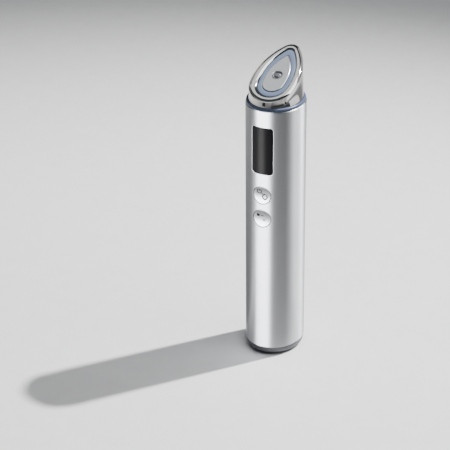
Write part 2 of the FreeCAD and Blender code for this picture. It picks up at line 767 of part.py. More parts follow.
def face_parts():
    """Outer electrode, light guide and seal: layers of the collar's tapering seat."""
    under = "-plate_depth - guide_base"
    core = taper("face_core", "-core_in - edge_gap", "0", "outer_crown")
    blank = layer("outer_blank", core, "-plate_depth", "outer_crown")
    opening = face_prism("outer_opening", "mid", "edge_gap", "-plate_depth - 1", "2")
    ring = cut("outer_ring", blank, opening)
    rounded = round_edges("Fillet", "outer_electrode", ring, 0.7, on_face_level(size("outer_crown")))
    node(rounded, "outer_electrode")

    base_plate = layer("guide_plate", core, under, "-plate_depth")
    rib = face_prism("guide_rib", "mid", "0", "-plate_depth - 0.1", "-guide_low")
    hollow = face_prism("guide_hollow", "inner", "edge_gap", "-plate_depth", "2")
    well = face_rod("guide_well", "lens_radius + edge_gap", "0", "lens_place", "-8", "2")
    seat = face_rod("guide_seat", "piezo_radius + 0.1", "0", "lens_place",
                    "-plate_depth - piezo_depth - edge_gap", "2")
    holes = [face_rod("guide_pin_%d" % n, "pin_radius + 0.1", x, y, "-8", "2")
             for n, (x, y) in enumerate(PINS)]
    solid = fuse("guide_solid", base_plate, rib)
    node(cut("face_light_guide", solid, hollow, well, seat, *holes), "face_light_guide")

    ring = layer("gasket_blank", core, "-pocket_depth", under)
    room = taper("gasket_room", "-bore_in", "-ledge + 0.1", "1")
    node(cut("head_gasket", ring, room), "head_gasket")


def centre_parts():
    """Inner electrode with its lens and the piezo ring bonded below it."""
    inner = on_face(new_body("inner_electrode"))
    plate = new_sketch(inner, "inner_plate", "inner_crown")
    egg(plate, "inner")
    pad(inner, plate, "plate_depth + inner_crown")
    crown(inner, 0.4, size("inner_crown"))
    hole = new_sketch(inner, "inner_hole", "inner_crown")
    circle(hole, "lens_place", "lens_radius + edge_gap")
    pocket(inner, hole, "plate_depth + 1")

    lens = on_face(new_body("centre_lens"))
    disc = new_sketch(lens, "lens_disc", "-edge_gap")
    circle(disc, "lens_place", "lens_radius")
    pad(lens, disc, "plate_depth + guide_base - edge_gap")
    crown(lens, 0.5, -size("edge_gap"))

    piezo = on_face(new_body("piezo_ring"))
    annulus = new_sketch(piezo, "piezo_annulus", "-plate_depth")
    circle(annulus, "lens_place", "piezo_radius")
    circle(annulus, "lens_place", "piezo_hole")
    pad(piezo, annulus, "piezo_depth")


def head_electronics():
    """Board under the face with its lamp and the spring pins to the electrodes."""
    top = "-head_board_top"
    node(layer("head_board", taper("board_taper", "-bore_in - 0.3", "-ledge - 0.3"),
               "%s - head_board_depth" % top, top), "head_board")
    lamp = on_face(new_body("head_led"))
    spot = new_sketch(lamp, "head_led_spot", top)
    circle(spot, "lens_place", "1.5")
    pad(lamp, spot, "0.9", down=False)
    pins = [face_rod("contact_pin_%d" % n, "pin_radius", x, y, top, "-plate_depth")
            for n, (x, y) in enumerate(PINS)]
    node(group("contact_pins", pins), "contact_pins")


def vibration_motor():
    """Small motor in a cradle inside the collar's sleeve, with an eccentric weight."""
    bar = block("cradle_bar", "2 * half_width", "cradle_depth", "cradle_tall",
                "0", "motor_back - cradle_depth / 2", "motor_bottom")
    limit = oval("cradle_limit", "cradle_in", "motor_bottom", "motor_bottom + cradle_tall")
    seat = rod("cradle_seat", "motor_radius + edge_gap", "20", "0", "motor_back", "motor_bottom - 5")
    node(cut("motor_cradle", overlap("cradle_block", bar, limit), seat), "motor_cradle")
    can = rod("motor_can_blank", "motor_radius", "motor_length", "0", "motor_back", "motor_bottom")
    bore = rod("motor_can_bore", "shaft_radius + shaft_gap", "6", "0", "motor_back",
               "motor_bottom + motor_length - 5")
    node(cut("motor_can", can, bore), "motor_can")
    node(rod("motor_shaft", "shaft_radius", "8", "0", "motor_back", "motor_bottom + motor_length - 4.5"),
         "motor_shaft")
    disc = rod("weight_disc", "weight_radius", "weight_tall", "0", "motor_back", "weight_bottom")
    half = block("weight_half", "10", "10", "20", "0", "motor_back + 0.9", "weight_bottom - 5")
    hole = rod("weight_hole", "shaft_radius", "20", "0", "motor_back", "weight_bottom - 5")
    node(cut("eccentric_weight", disc, half, hole), "eccentric_weight")


def flex_cable():
    """Flat cable from the main board's back up to the head board."""
    leg = block("head_flex", "6", "0.2", "18.5", "0", "-board_front + board_depth + 0.02", "132")
    node(leg, "head_flex")


body_shell()
display()
for button_name in ("power", "level"):
    button(button_name)
button_mounting()
main_board()
chassis()
battery()
driver()
base()
charging_port()
ring_light()
head_collar()
face_parts()
centre_parts()
head_electronics()
vibration_motor()
flex_cable()
doc.recompute()


# ---------------------------------------------------------------- export
for item in doc.Objects:
    if "Invalid" in item.State or "Error" in item.State:
        raise RuntimeError("%s did not compute: %s" % (item.Label, item.State))
os.makedirs("parts", exist_ok=True)
for item in NODES:
    shape = item.Shape
    if shape.isNull() or not shape.isValid() or not shape.Solids:
        raise RuntimeError(item.Label + " is not a valid solid")
for item in NODES:
    item.Shape.exportStep("parts/%s.step" % item.Label)
    print("%-20s solids %d volume %.1f" % (item.Label, len(item.Shape.Solids), item.Shape.Volume))
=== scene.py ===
"""Detailed meshes, materials, studio and camera for the facial wand, around its CAD frame."""

import json
import math

import bmesh
import bpy
from mathutils import Matrix, Vector

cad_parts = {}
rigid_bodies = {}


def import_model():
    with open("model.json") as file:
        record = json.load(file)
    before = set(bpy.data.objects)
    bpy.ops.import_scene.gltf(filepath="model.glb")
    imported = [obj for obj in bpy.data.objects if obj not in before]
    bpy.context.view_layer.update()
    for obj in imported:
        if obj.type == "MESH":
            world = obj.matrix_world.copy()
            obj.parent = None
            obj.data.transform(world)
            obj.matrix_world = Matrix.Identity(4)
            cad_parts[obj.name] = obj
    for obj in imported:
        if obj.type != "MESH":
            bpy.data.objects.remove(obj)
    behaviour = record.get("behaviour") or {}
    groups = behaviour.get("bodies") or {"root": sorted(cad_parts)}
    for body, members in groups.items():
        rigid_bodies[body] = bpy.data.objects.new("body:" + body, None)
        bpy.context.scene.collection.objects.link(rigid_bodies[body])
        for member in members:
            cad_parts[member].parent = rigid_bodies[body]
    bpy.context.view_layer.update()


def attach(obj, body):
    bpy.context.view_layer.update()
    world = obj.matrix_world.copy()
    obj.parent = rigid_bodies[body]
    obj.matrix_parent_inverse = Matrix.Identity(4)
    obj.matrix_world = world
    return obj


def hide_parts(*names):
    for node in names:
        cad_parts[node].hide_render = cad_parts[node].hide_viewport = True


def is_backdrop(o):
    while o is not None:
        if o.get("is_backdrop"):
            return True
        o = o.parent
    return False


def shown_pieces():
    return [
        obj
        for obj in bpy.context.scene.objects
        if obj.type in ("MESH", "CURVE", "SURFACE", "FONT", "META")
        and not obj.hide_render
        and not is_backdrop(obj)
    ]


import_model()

MM = 0.001

# sizes of the CAD model, in millimetres
HALF_WIDTH, HALF_DEPTH, WALL = 16.0, 17.9, 1.2
SHELL_BOTTOM, SHELL_TOP = 4.6, 149.2
WINDOW_WIDTH, WINDOW_HEIGHT, WINDOW_CORNER, WINDOW_MIDDLE = 12.3, 27.6, 1.7, 126.2
WINDOW_DEPTH = 1.6
HOLE_RADIUS, CAP_RADIUS, CAP_INSET = 5.4, 5.2, 0.15
DISH_WIDE, DISH_TALL, DISH_DEEP, DISH_FLOOR = 14.0, 7.8, 6.0, 16.45
CAP_BACK, FLANGE_RADIUS, FLANGE_BACK = 14.9, 6.3, 13.9
STEM_RADIUS, STEM_BACK = 1.6, 12.25
POWER_HEIGHT, LEVEL_HEIGHT = 99.8, 85.8
PORT_HEIGHT, PORT_WIDTH, PORT_TALL = 15.6, 8.9, 3.2
BEZEL_WIDTH, BEZEL_TALL = 12.0, 6.2
RING_TOP, RING_INSET, RING_HOLE, RING_ROUND = 151.0, 0.3, 1.35, 1.0
SKIRT_BOTTOM, SKIRT_BORE = 143.7, 3.5
NECK_BOTTOM, NECK_TOP, SLEEVE_BOTTOM = 149.4, 151.1, 140.4
SLEEVE_IN, BORE_IN, LIP, LIP_RISE = 2.15, 3.35, 0.3, -0.22
FACE_TILT, FACE_HEIGHT = 25.2, 161.9
OUTER_CROWN, INNER_CROWN, PLATE_DEPTH = 0.35, 0.1, 2.2
GUIDE_LOW, GUIDE_BASE = 0.25, 1.9
LENS_PLACE, LENS_RADIUS = 1.87, 2.7
BASE_LIP, BASE_FLOOR, BASE_ROUND = 0.35, 0.6, 2.4
FOOT_INSET, FOOT_DEPTH = 3.2, 1.4
GAP = 0.05

# where the camera stands round the object, in degrees from -Y towards +X
CAMERA_AZIMUTH = 25.0

# egg outlines: front, tip, nose radius, point radius, flank radius
EGGS = {
    "neck": (-16.4, 16.4, 13.4, 13.4, 17.89),
    "outer": (-17.55, 24.33, 12.7, 5.1, 36.9),
    "mid": (-13.4, 20.4, 8.05, 2.5, 33.3),
    "inner": (-10.2, 16.3, 5.9, 0.8, 27.2),
}


# ---------------------------------------------------------------- node materials
class Look:
    """A Principled material with short calls to wire procedural detail into it."""

    def __init__(self, name, colour, roughness, **sockets):
        self.material = bpy.data.materials.new(name)
        self.material.use_nodes = True
        self.nodes = self.material.node_tree.nodes
        self.links = self.material.node_tree.links
        self.shader = self.nodes["Principled BSDF"]
        self.shader.inputs["Base Color"].default_value = (*colour, 1)
        self.shader.inputs["Roughness"].default_value = roughness
        self.colour = colour
        self.roughness = roughness
        for socket, value in sockets.items():
            self.shader.inputs[socket.replace("_", " ")].default_value = value

    def add(self, kind, **values):
        """A new node with its properties or its inputs set."""
        made = self.nodes.new(kind)
        for key, value in values.items():
            if hasattr(made, key):
                setattr(made, key, value)
            else:
                made.inputs[key.replace("_", " ")].default_value = value
        return made

    def place(self, stretch=(1, 1, 1)):
        """Object coordinates in metres, stretched per axis."""
        source = self.add("ShaderNodeTexCoord")
        mapping = self.add("ShaderNodeMapping")
        mapping.inputs["Scale"].default_value = stretch
        self.links.new(source.outputs["Object"], mapping.inputs["Vector"])
        return mapping.outputs["Vector"]

    def noise(self, scale, detail=3.0, stretch=(1, 1, 1)):
        node = self.add("ShaderNodeTexNoise", Scale=scale, Detail=detail)
        self.links.new(self.place(stretch), node.inputs["Vector"])
        return node.outputs["Fac"]

    def spread(self, value, low, high):
        """Map a 0 to 1 value onto a range."""
        node = self.add("ShaderNodeMapRange")
        node.inputs["To Min"].default_value = low
        node.inputs["To Max"].default_value = high
        self.links.new(value, node.inputs["Value"])
        return node.outputs["Result"]

    def vary_roughness(self, value, amount):
        result = self.spread(value, max(0.0, self.roughness - amount), self.roughness + amount)
        self.links.new(result, self.shader.inputs["Roughness"])
        return self

    def vary_colour(self, value, amount):
        ramp = self.add("ShaderNodeValToRGB")
        for stop, factor in zip(ramp.color_ramp.elements, (1 - amount, 1 + amount)):
            stop.color = (*[min(1.0, c * factor) for c in self.colour], 1)
        self.links.new(value, ramp.inputs["Fac"])
        self.links.new(ramp.outputs["Color"], self.shader.inputs["Base Color"])
        return self

    def bump(self, value, depth):
        """Relief of a depth in millimetres."""
        node = self.add("ShaderNodeBump", Strength=1.0)
        node.inputs["Distance"].default_value = depth * MM
        self.links.new(value, node.inputs["Height"])
        self.links.new(node.outputs["Normal"], self.shader.inputs["Normal"])
        return self


def metal(name, colour, roughness, grain_depth, brushed=0.0, wear=0.04):
    """Metal with fine turned grain round the Z axis and slight smudges."""
    look = Look(name, colour, roughness, Metallic=1.0, Anisotropic=brushed, Anisotropic_Rotation=0.25)
    grain = look.noise(240, 5, (1, 1, 16))
    smudge = look.noise(60, 3)
    look.vary_roughness(smudge, wear)
    look.vary_colour(grain, 0.08)
    look.bump(grain, grain_depth)
    if brushed:
        tangent = look.add("ShaderNodeTangent", direction_type="RADIAL", axis="Z")
        look.links.new(tangent.outputs["Tangent"], look.shader.inputs["Tangent"])
    return look.material


def moulded(name, colour, roughness, texture=0.004, **sockets):
    """Moulded plastic or rubber with a fine spark-eroded texture."""
    look = Look(name, colour, roughness, **sockets)
    fine = look.noise(2600, 2)
    look.vary_colour(look.noise(90, 3), 0.06)
    look.vary_roughness(look.noise(220, 3), 0.05)
    look.bump(fine, texture)
    return look.material


def make_materials():
    return {
        "satin_metal": metal("satin_metal", (0.425, 0.43, 0.442), 0.42, 0.0014, 0.9),
        "button_metal": metal("button_metal", (0.27, 0.275, 0.285), 0.4, 0.0006),
        "chrome_plate": metal("chrome_plate", (0.57, 0.56, 0.55), 0.08, 0.0, 0.0, 0.015),
        "polished_plate": metal("polished_plate", (0.46, 0.465, 0.48), 0.22, 0.0005),
        "blue_guide": moulded("blue_guide", (0.12, 0.155, 0.225), 0.35, 0.001, IOR=1.45,
                              Specular_IOR_Level=0.3),
        "blue_ring": moulded("blue_ring", (0.08, 0.1, 0.165), 0.26, 0.0008, IOR=1.45,
                             Specular_IOR_Level=0.3, Transmission_Weight=0.1),
        "clear_lens": moulded("clear_lens", (0.08, 0.082, 0.09), 0.3, 0.0008, IOR=1.49,
                              Coat_Weight=0.3),
        "dark_glass": moulded("dark_glass", (0.006, 0.006, 0.008), 0.3, 0.0, IOR=1.5,
                              Specular_IOR_Level=0.12),
        "black_seal": moulded("black_seal", (0.012, 0.012, 0.013), 0.6),
        "display_panel": moulded("display_panel", (0.01, 0.01, 0.012), 0.15, 0.0),
        "frame_plastic": moulded("frame_plastic", (0.035, 0.035, 0.038), 0.5),
        "grey_silicone": moulded("grey_silicone", (0.18, 0.18, 0.185), 0.55, 0.002),
        "foot_rubber": moulded("foot_rubber", (0.03, 0.03, 0.032), 0.7, 0.01),
        "base_plastic": moulded("base_plastic", (0.085, 0.09, 0.1), 0.42, 0.003),
        "board_green": moulded("board_green", (0.015, 0.11, 0.05), 0.35, 0.003),
        "board_white": moulded("board_white", (0.72, 0.72, 0.7), 0.4, 0.003),
        "lamp_white": moulded("lamp_white", (0.8, 0.76, 0.55), 0.3, 0.001),
        "chip_black": moulded("chip_black", (0.012, 0.012, 0.013), 0.6, 0.003, Specular_IOR_Level=0.1),
        "screw_steel": metal("screw_steel", (0.45, 0.45, 0.46), 0.35, 0.002),
        "motor_steel": metal("motor_steel", (0.55, 0.55, 0.56), 0.28, 0.001),
        "weight_brass": metal("weight_brass", (0.62, 0.45, 0.17), 0.3, 0.001),
        "gold_contact": metal("gold_contact", (0.8, 0.58, 0.22), 0.22, 0.0005),
        "cell_wrap": moulded("cell_wrap", (0.03, 0.1, 0.25), 0.3, 0.002),
        "piezo_white": moulded("piezo_white", (0.78, 0.74, 0.62), 0.6, 0.003),
        "flex_amber": moulded("flex_amber", (0.42, 0.16, 0.02), 0.25, 0.001),
        "floor": moulded("floor", (0.72, 0.72, 0.715), 0.55, 0.004),
        "dark_card": moulded("dark_card", (0.07, 0.07, 0.07), 0.9, 0.004),
        "grey_card": moulded("grey_card", (0.42, 0.415, 0.41), 0.9, 0.004),
        "dim_card": moulded("dim_card", (0.17, 0.17, 0.17), 0.9, 0.004),
        "pale_card": moulded("pale_card", (0.6, 0.59, 0.58), 0.9, 0.004),
    }


LOOKS = make_materials()


def finish_mesh(name, mesh, slot, body, nodes=(), sharp=35.0):
    """Link a mesh in the scene with its material, body and the CAD nodes it replaces."""
    thing = bpy.data.objects.new(name, mesh)
    bpy.context.scene.collection.objects.link(thing)
    mesh.materials.clear()
    mesh.materials.append(LOOKS[slot])
    mesh.shade_smooth()
    mesh.set_sharp_from_angle(angle=math.radians(sharp))
    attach(thing, body)
    if nodes:
        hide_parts(*nodes)
    return thing


# ---------------------------------------------------------------- loops of points
def oval_loop(inset, z, count=288):
    """The handle's oval drawn in by inset, at one height."""
    wide, deep = HALF_WIDTH - inset, HALF_DEPTH - inset
    turns = [2 * math.pi * n / count for n in range(count)]
    return [Vector((wide * math.cos(t), deep * math.sin(t), z)) for t in turns]


def egg_outline(family, grow=0.0):
    """Points round an egg of four tangent arcs, from the nose's left end to the right."""
    front, tip, nose, point, flank = EGGS[family]
    front, tip = front - grow, tip + grow
    nose, point, flank = nose + grow, point + grow, flank + grow
    nose_y, point_y = front + nose, tip - point
    span = point_y - nose_y
    to_nose, to_point = flank - nose, flank - point
    up = (span ** 2 + to_nose ** 2 - to_point ** 2) / (2 * span)
    side = math.sqrt(to_nose ** 2 - up ** 2)
    nose_angle = math.atan2(-up, side)
    point_angle = math.atan2(span - up, side)
    arcs = [
        (0, nose_y, nose, math.pi - nose_angle, 2 * math.pi + nose_angle, 72),
        (-side, nose_y + up, flank, nose_angle, point_angle, 56),
        (0, point_y, point, point_angle, math.pi - point_angle, 44),
        (side, nose_y + up, flank, math.pi - point_angle, math.pi - nose_angle, 56),
    ]
    points = []
    for x, y, radius, start, end, steps in arcs:
        for step in range(steps):
            angle = start + (end - start) * step / steps
            points.append((x + radius * math.cos(angle), y + radius * math.sin(angle)))
    return points


def upright_egg(family, grow, z):
    return [Vector((x, y, z)) for x, y in egg_outline(family, grow)]


TURN = math.radians(FACE_TILT)


def on_face(x, y, rise):
    """A point of the slanted face's frame in the object's frame."""
    return Vector((x, y * math.cos(TURN) - rise * math.sin(TURN),
                   FACE_HEIGHT + y * math.sin(TURN) + rise * math.cos(TURN)))


def face_egg(family, grow, rise):
    return [on_face(x, y, rise) for x, y in egg_outline(family, grow)]


def between(first, second, part):
    """Points part of the way from one loop to another."""
    return [a.lerp(b, part) for a, b in zip(first, second)]


def rounded_outline(width, height, corner, corner_steps=10, side_steps=(14, 30)):
    """(x, z, normal x, normal z) round a rectangle with round corners, anticlockwise."""
    points = []
    half_w, half_h = width / 2 - corner, height / 2 - corner
    centres = [(half_w, half_h, 0), (-half_w, half_h, 90), (-half_w, -half_h, 180), (half_w, -half_h, 270)]
    for n, (cx, cz, start) in enumerate(centres):
        for step in range(corner_steps + 1):
            angle = math.radians(start + 90 * step / corner_steps)
            out = (math.cos(angle), math.sin(angle))
            points.append((cx + corner * out[0], cz + corner * out[1], *out))
        next_x, next_z, _ = centres[(n + 1) % 4]
        end = math.radians(start + 90)
        out = (math.cos(end), math.sin(end))
        steps = side_steps[n % 2]
        for step in range(1, steps):
            part = step / steps
            points.append((cx + (next_x - cx) * part + corner * out[0],
                           cz + (next_z - cz) * part + corner * out[1], *out))
    return points


def round_outline(radius, count=96):
    turns = [2 * math.pi * n / count for n in range(count)]
    return [(radius * math.cos(t), radius * math.sin(t), math.cos(t), math.sin(t)) for t in turns]


def skin(x, inset=0.0):
    """Half depth of the oval at x."""
    wide, deep = HALF_WIDTH - inset, HALF_DEPTH - inset
    return deep * math.sqrt(max(0.0, 1 - (x / wide) ** 2))


def on_skin(outline, outward, depth, middle, side=-1):
    """An outline laid on the handle's skin: grown outward and sunk by depth, on one side."""
    loop = []
    for x, z, out_x, out_z in outline:
        across = x + out_x * outward
        loop.append(Vector((across, side * (skin(across) - depth), middle + z + out_z * outward)))
    return loop


# ---------------------------------------------------------------- meshes from loops
def weave(bm, loops, closed=False, cap_first=False, cap_last=False):
    """Quads between successive loops of equal length."""
    rings = [[bm.verts.new(point * MM) for point in loop] for loop in loops]
    pairs = list(zip(rings, rings[1:]))
    if closed:
        pairs.append((rings[-1], rings[0]))
    for low, high in pairs:
        for n in range(len(low)):
            m = (n + 1) % len(low)
            bm.faces.new((low[n], low[m], high[m], high[n]))
    if cap_first:
        bm.faces.new(list(reversed(rings[0])))
    if cap_last:
        bm.faces.new(rings[-1])


def woven(name, loops, **options):
    bm = bmesh.new()
    weave(bm, loops, **options)
    return as_mesh(name, bm)


def as_mesh(name, bm):
    bmesh.ops.recalc_face_normals(bm, faces=bm.faces)
    mesh = bpy.data.meshes.new(name)
    bm.to_mesh(mesh)
    bm.free()
    return mesh


def arc_steps(radius, start, end, steps):
    """(cosine, sine) of an arc times its radius, angles in degrees."""
    angles = [math.radians(start + (end - start) * n / steps) for n in range(steps + 1)]
    return [(radius * math.cos(a), radius * math.sin(a)) for a in angles]


# ---------------------------------------------------------------- handle
def boolean(mesh, cutters):
    """The mesh with each cutter's volume taken away."""
    base = bpy.data.objects.new("base", mesh)
    bpy.context.scene.collection.objects.link(base)
    made = []
    for cutter in cutters:
        tool = bpy.data.objects.new("tool", cutter)
        bpy.context.scene.collection.objects.link(tool)
        made.append(tool)
        modifier = base.modifiers.new("cut", "BOOLEAN")
        modifier.operation = "DIFFERENCE"
        modifier.solver = "EXACT"
        modifier.object = tool
    graph = bpy.context.evaluated_depsgraph_get()
    result = bpy.data.meshes.new_from_object(base.evaluated_get(graph))
    for thing in [base] + made:
        bpy.data.objects.remove(thing)
    return result


def true_normals(mesh, wanted):
    """Corner normals from a formula where wanted(point) gives one close to the face's own."""
    nearly_parallel = 0.93
    normals = [Vector(corner.vector) for corner in mesh.corner_normals]
    for polygon in mesh.polygons:
        for index in polygon.loop_indices:
            exact = wanted(mesh.vertices[mesh.loops[index].vertex_index].co)
            if exact is not None and exact.dot(polygon.normal) > nearly_parallel:
                normals[index] = exact
    mesh.normals_split_custom_set(normals)


def skin_normal(point):
    """The oval's outward normal for a point on the shell's outer skin, away from its rims."""
    off_oval, rim = 0.004, 0.4
    x, y = point.x / MM, point.y / MM
    level = (x / HALF_WIDTH) ** 2 + (y / HALF_DEPTH) ** 2
    height = point.z / MM
    if abs(level - 1) > off_oval or not SHELL_BOTTOM + rim < height < SHELL_TOP - rim:
        return None
    return Vector((x / HALF_WIDTH ** 2, y / HALF_DEPTH ** 2, 0)).normalized()


# outline, height of its middle, side, radius of the rounded edge
OPENINGS = [
    (rounded_outline(WINDOW_WIDTH, WINDOW_HEIGHT, WINDOW_CORNER), WINDOW_MIDDLE, -1, 0.2),
    (round_outline(HOLE_RADIUS), POWER_HEIGHT, -1, 0.06),
    (round_outline(HOLE_RADIUS), LEVEL_HEIGHT, -1, 0.06),
    (rounded_outline(BEZEL_WIDTH, BEZEL_TALL, BEZEL_TALL / 2.05, 12, (12, 2)), PORT_HEIGHT, 1, 0.15),
]


def body_shell():
    """Tube with softened chamfers, and openings whose edges are rounded."""
    chamfer, lining = 0.42, WALL + 0.02
    rim = [(chamfer + 0.06, 0), (chamfer, 0.02), (0.06, chamfer - 0.04), (0.015, chamfer + 0.06),
           (0, chamfer + 0.16)]
    loops = [oval_loop(inset, SHELL_BOTTOM + up) for inset, up in rim]
    loops += [oval_loop(inset, SHELL_TOP - up) for inset, up in reversed(rim)]
    loops += [oval_loop(WALL, SHELL_TOP), oval_loop(WALL, SHELL_BOTTOM)]
    tube = woven("tube", loops, closed=True)
    cutters = []
    for outline, middle, side, edge in OPENINGS:
        ends = [[Vector((x + nx * edge, side * depth, middle + z + nz * edge))
                 for x, z, nx, nz in outline] for depth in (5.0, HALF_DEPTH + 3)]
        cutters.append(woven("cutter", ends, cap_first=True, cap_last=True))
    mesh = boolean(tube, cutters)
    bm = bmesh.new()
    bm.from_mesh(mesh)
    for outline, middle, side, edge in OPENINGS:
        profile = [(edge - up, edge - out) for out, up in arc_steps(edge, 0, 90, 5)]
        profile += [(0, lining), (edge, lining)]
        strip = [on_skin(outline, out, depth, middle, side) for out, depth in profile]
        before = set(bm.faces)
        weave(bm, strip)
        # the strip's faces look outward and towards the middle of the opening
        outward = Vector((0, side, 0))
        centre = Vector((0, side * skin(0), middle)) * MM
        for face in [face for face in bm.faces if face not in before]:
            face.normal_update()
            towards = face.calc_center_median() - centre
            if face.normal.dot(outward * MM - Vector((towards.x, 0, towards.z))) < 0:
                face.normal_flip()
    mesh.clear_geometry()
    bm.to_mesh(mesh)
    bm.free()
    shell = finish_mesh("shell_skin", mesh, "satin_metal", "handle", ["body_shell"], 28)
    true_normals(mesh, skin_normal)
    return shell


def glass():
    """Curved dark window with softened edges, a hair below the metal."""
    outline = rounded_outline(WINDOW_WIDTH - 2 * GAP, WINDOW_HEIGHT - 2 * GAP, WINDOW_CORNER - GAP)
    sunk = 0.1
    back = on_skin(outline, 0, WINDOW_DEPTH, WINDOW_MIDDLE)
    loops = [back, on_skin(outline, 0, sunk + 0.2, WINDOW_MIDDLE),
             on_skin(outline, -0.05, sunk + 0.06, WINDOW_MIDDLE),
             on_skin(outline, -0.16, sunk + 0.01, WINDOW_MIDDLE)]
    flat = on_skin(outline, -0.3, sunk, WINDOW_MIDDLE)
    loops.append(flat)
    reach = WINDOW_HEIGHT / 2 - WINDOW_WIDTH / 2
    steps = 15
    for step in range(1, steps):
        part = step / steps
        ring = []
        for point in flat:
            height = max(-reach, min(reach, point.z - WINDOW_MIDDLE))
            x = point.x * (1 - part)
            z = WINDOW_MIDDLE + height + (point.z - WINDOW_MIDDLE - height) * (1 - part)
            ring.append(Vector((x, -(skin(x) - sunk), z)))
        loops.append(ring)
    mesh = woven("glass", loops, cap_first=True, cap_last=True)
    return finish_mesh("window_glass", mesh, "dark_glass", "handle", ["display_window"], 50)


# ---------------------------------------------------------------- buttons
def cap_depth(x, z):
    """Half depth of a button's front: the oval skin with an ellipsoidal dish let into it."""
    outer = skin(x, CAP_INSET)
    dish = DISH_FLOOR + DISH_DEEP - DISH_DEEP * math.sqrt(1 - (x / DISH_WIDE) ** 2 - (z / DISH_TALL) ** 2)
    soft = 0.09
    return 0.5 * (outer + dish - math.sqrt((outer - dish) ** 2 + soft ** 2))


def button(name, middle):
    """Dished cap with a rounded rim, its flange and its stem."""
    def ring(radius, depth_in=0.0, flat=None):
        return [Vector((x, -(cap_depth(x, z) - depth_in) if flat is None else -flat, middle + z))
                for x, z, _, _ in round_outline(radius)]

    edge = 0.16
    top = CAP_RADIUS - 0.2
    loops = [ring(STEM_RADIUS, flat=STEM_BACK), ring(STEM_RADIUS, flat=FLANGE_BACK),
             ring(FLANGE_RADIUS, flat=FLANGE_BACK), ring(FLANGE_RADIUS, flat=CAP_BACK),
             ring(CAP_RADIUS, flat=CAP_BACK), ring(CAP_RADIUS, 0.8), ring(top, edge)]
    for turn in (15, 30, 45, 60, 75, 90):
        angle = math.radians(turn)
        loops.append(ring(top - edge * (1 - math.cos(angle)), edge * (1 - math.sin(angle))))
    steps = 26
    for step in range(1, steps):
        loops.append(ring((top - edge) * (1 - step / steps)))
    mesh = woven(name, loops, cap_first=True, cap_last=True)
    return finish_mesh(name + "_cap", mesh, "button_metal", name + "_key", [name + "_button"], 40)


def button_gap_shade(name, middle):
    """Black ring just below the skin in the gap between a cap and the metal: painted shade that darkens the
    gap.
    """
    rows = [(CAP_RADIUS + 0.02, 1.1), (CAP_RADIUS + 0.02, 0.22), (CAP_RADIUS + 0.1, 0.16),
            (HOLE_RADIUS - 0.01, 0.16), (HOLE_RADIUS - 0.01, 1.1)]
    loops = [[Vector((x, -(skin(x) - depth), middle + z)) for x, z, _, _ in round_outline(radius)]
             for radius, depth in rows]
    mesh = woven(name, loops, closed=True)
    # the object keeps a seal's name, but the ring is painted shade in the gap
    return finish_mesh(name + "_seal", mesh, "black_seal", "handle")


def stroke(bm, points, width, middle):
    """A thin printed line that follows the dish of a button."""
    proud, sunk = 0.05, 0.03
    left, right = [], []
    for n, (x, z) in enumerate(points):
        before = points[max(0, n - 1)]
        after = points[min(len(points) - 1, n + 1)]
        run = Vector((after[0] - before[0], after[1] - before[1])).normalized()
        for side, edge in ((1, left), (-1, right)):
            px, pz = x - run.y * side * width / 2, z + run.x * side * width / 2
            edge.append((px, pz))
    tops = [[bm.verts.new(Vector((x, -cap_depth(x, z) - proud, middle + z)) * MM) for x, z in edge]
            for edge in (left, right)]
    lows = [[bm.verts.new(Vector((x, -cap_depth(x, z) + sunk, middle + z)) * MM) for x, z in edge]
            for edge in (left, right)]
    for n in range(len(points) - 1):
        for one, other in ((tops[0], tops[1]), (lows[0], tops[0]), (tops[1], lows[1]), (lows[1], lows[0])):
            bm.faces.new((one[n], one[n + 1], other[n + 1], other[n]))
    for n in (0, -1):
        bm.faces.new((tops[0][n], tops[1][n], lows[1][n], lows[0][n]))


def arc_line(x, z, radius, start, end, steps=28):
    """Points along an arc, angles in degrees."""
    angles = [math.radians(start + (end - start) * n / steps) for n in range(steps + 1)]
    return [(x + radius * math.cos(a), z + radius * math.sin(a)) for a in angles]


def straight(x, z, to_x, to_z, steps=6):
    """Points along a straight line."""
    return [(x + (to_x - x) * n / steps, z + (to_z - z) * n / steps) for n in range(steps + 1)]


def icons():
    """Generic signs: power, mode and a dividing slash above, a level sign below."""
    bm = bmesh.new()
    px, pz = -1.85, 1.8
    stroke(bm, arc_line(px, pz, 1.25, 120, 420), 0.52, POWER_HEIGHT)
    stroke(bm, straight(px, pz + 0.1, px, pz + 1.5), 0.52, POWER_HEIGHT)
    mx, mz = 1.4, -1.1
    stroke(bm, arc_line(mx, mz, 1.35, 75, 385), 0.7, POWER_HEIGHT)
    stroke(bm, straight(mx + 0.8, mz + 0.4, mx + 1.4, mz + 1.2), 0.7, POWER_HEIGHT)
    stroke(bm, straight(-0.8, -0.15, 0.1, 0.9), 0.42, POWER_HEIGHT)
    finish_mesh("power_signs", as_mesh("power_signs", bm), "chip_black", "power_key")
    bm = bmesh.new()
    stroke(bm, [(-3.2, 1.35), (-2.0, 1.35)], 1.7, LEVEL_HEIGHT)
    stroke(bm, [(-2.0, 1.3), (-1.4, 1.3)], 0.8, LEVEL_HEIGHT)
    stroke(bm, straight(-0.9, 1.2, 0.6, 1.2), 0.5, LEVEL_HEIGHT)
    stroke(bm, straight(0.2, -0.9, 0.9, -1.7), 0.45, LEVEL_HEIGHT)
    stroke(bm, straight(0.9, -1.7, 1.6, -0.9), 0.45, LEVEL_HEIGHT)
    finish_mesh("level_signs", as_mesh("level_signs", bm), "chip_black", "level_key")


